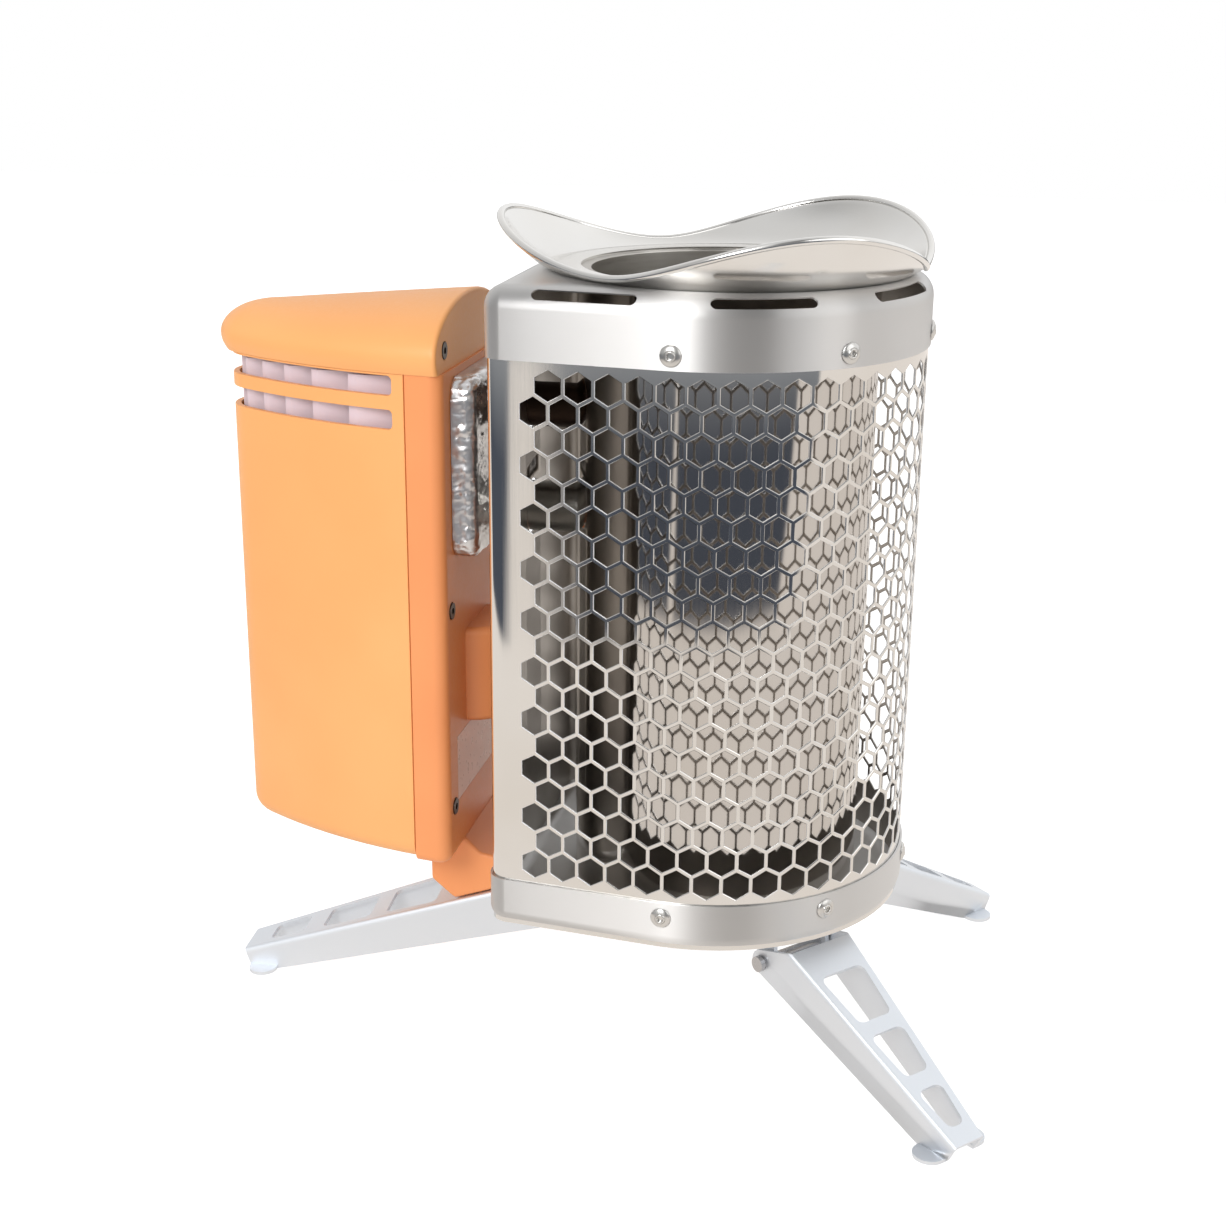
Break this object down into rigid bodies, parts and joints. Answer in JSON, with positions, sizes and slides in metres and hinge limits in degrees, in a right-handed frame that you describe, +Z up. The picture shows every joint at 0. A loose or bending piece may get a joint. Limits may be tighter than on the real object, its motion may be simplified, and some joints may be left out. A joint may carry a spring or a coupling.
{
  "type": "rocket stove",
  "caption": "Wood-burning camp stove: perforated steel cylinder with a wavy flared pot stand, folding channel legs and a slide-on fan and battery module with a domed lid.",
  "frame": {"origin": "on the ground, under the middle of the whole stove's length and width", "axes": "+Z up along the burner's axis, +X from the power module towards the burner, +Y towards the module side that carries the button and the charging port"},
  "size_m": [0.2568, 0.1802, 0.2605],
  "materials": {
    "polished_steel": "polished",
    "brushed_steel": "brushed",
    "bright_steel": "bright, lightly heat-tinted",
    "dark_steel": "sooted",
    "leg_steel": "satin",
    "rivet_steel": "satin",
    "pin_steel": "bright",
    "orange_plastic": "fine satin",
    "cover_plastic": "fine satin",
    "label_film": "plain, printed with nothing",
    "foil": "crinkled",
    "copper": "bright",
    "ceramic": "matt",
    "sink_aluminium": "satin",
    "nozzle_steel": "satin",
    "black_plastic": "fine satin",
    "cell_wrap": "gloss",
    "board_green": "satin",
    "lens": "clear",
    "button_grey": "matt",
    "screw_steel": "dark satin"
  },
  "bodies": {
    "stove": {"pot_stand": "bright_steel", "top_cap": "brushed_steel", "cap_rivets": "rivet_steel", "heat_shield": "polished_steel", "air_jacket": "polished_steel", "burn_chamber": "dark_steel", "chamber_floor": "dark_steel", "base_pan": "brushed_steel", "pan_rivets": "rivet_steel", "front_bracket": "leg_steel", "back_bracket": "leg_steel", "left_bracket": "leg_steel", "bracket_rivets": "rivet_steel", "front_pin": "pin_steel", "back_pin": "pin_steel", "left_pin": "pin_steel"},
    "front_leg": {"front_leg": "leg_steel"},
    "back_leg": {"back_leg": "leg_steel"},
    "left_leg": {"left_leg": "leg_steel"},
    "power_module": {"module_lid": "orange_plastic", "front_cover": "cover_plastic", "rear_housing": "orange_plastic", "heat_foil": "foil", "heat_probe": "copper", "thermoelectric_plate": "ceramic", "heat_sink": "sink_aluminium", "air_nozzle": "nozzle_steel", "fan_frame": "black_plastic", "fan_motor": "black_plastic", "battery": "cell_wrap", "circuit_board": "board_green", "charging_port": "pin_steel", "button_switch": "black_plastic", "status_lens": "lens", "module_screws": "screw_steel", "label_plate": "label_film"},
    "fan": {"fan_rotor": "black_plastic"},
    "button": {"power_button": "button_grey"}
  },
  "joints": [
    {"name": "front_leg_fold", "type": "hinge", "parent": "stove", "child": "front_leg", "pos_m": [0.0661, -0.03089, 0.033], "axis": [0.682, 0.7314, 0], "range_deg": [0, 131]},
    {"name": "back_leg_fold", "type": "hinge", "parent": "stove", "child": "back_leg", "pos_m": [0.0661, 0.03089, 0.033], "axis": [-0.682, 0.7314, 0], "range_deg": [0, 107]},
    {"name": "left_leg_fold", "type": "hinge", "parent": "stove", "child": "left_leg", "pos_m": [-0.01222, -0.00316, 0.033], "axis": [0.0698, -0.9976, 0], "range_deg": [0, 168]},
    {"name": "module_slide", "type": "slide", "parent": "stove", "child": "power_module", "axis": [-1, 0, 0], "range_m": [0, 0.09]},
    {"name": "fan_spin", "type": "hinge", "parent": "power_module", "child": "fan", "pos_m": [-0.05203, 0, 0.166], "axis": [1, 0, 0], "continuous": true},
    {"name": "button_press", "type": "slide", "parent": "power_module", "child": "button", "axis": [0.342, -0.9397, 0], "range_m": [0, 0.001], "stiffness_N_per_m": 400}
  ]
}
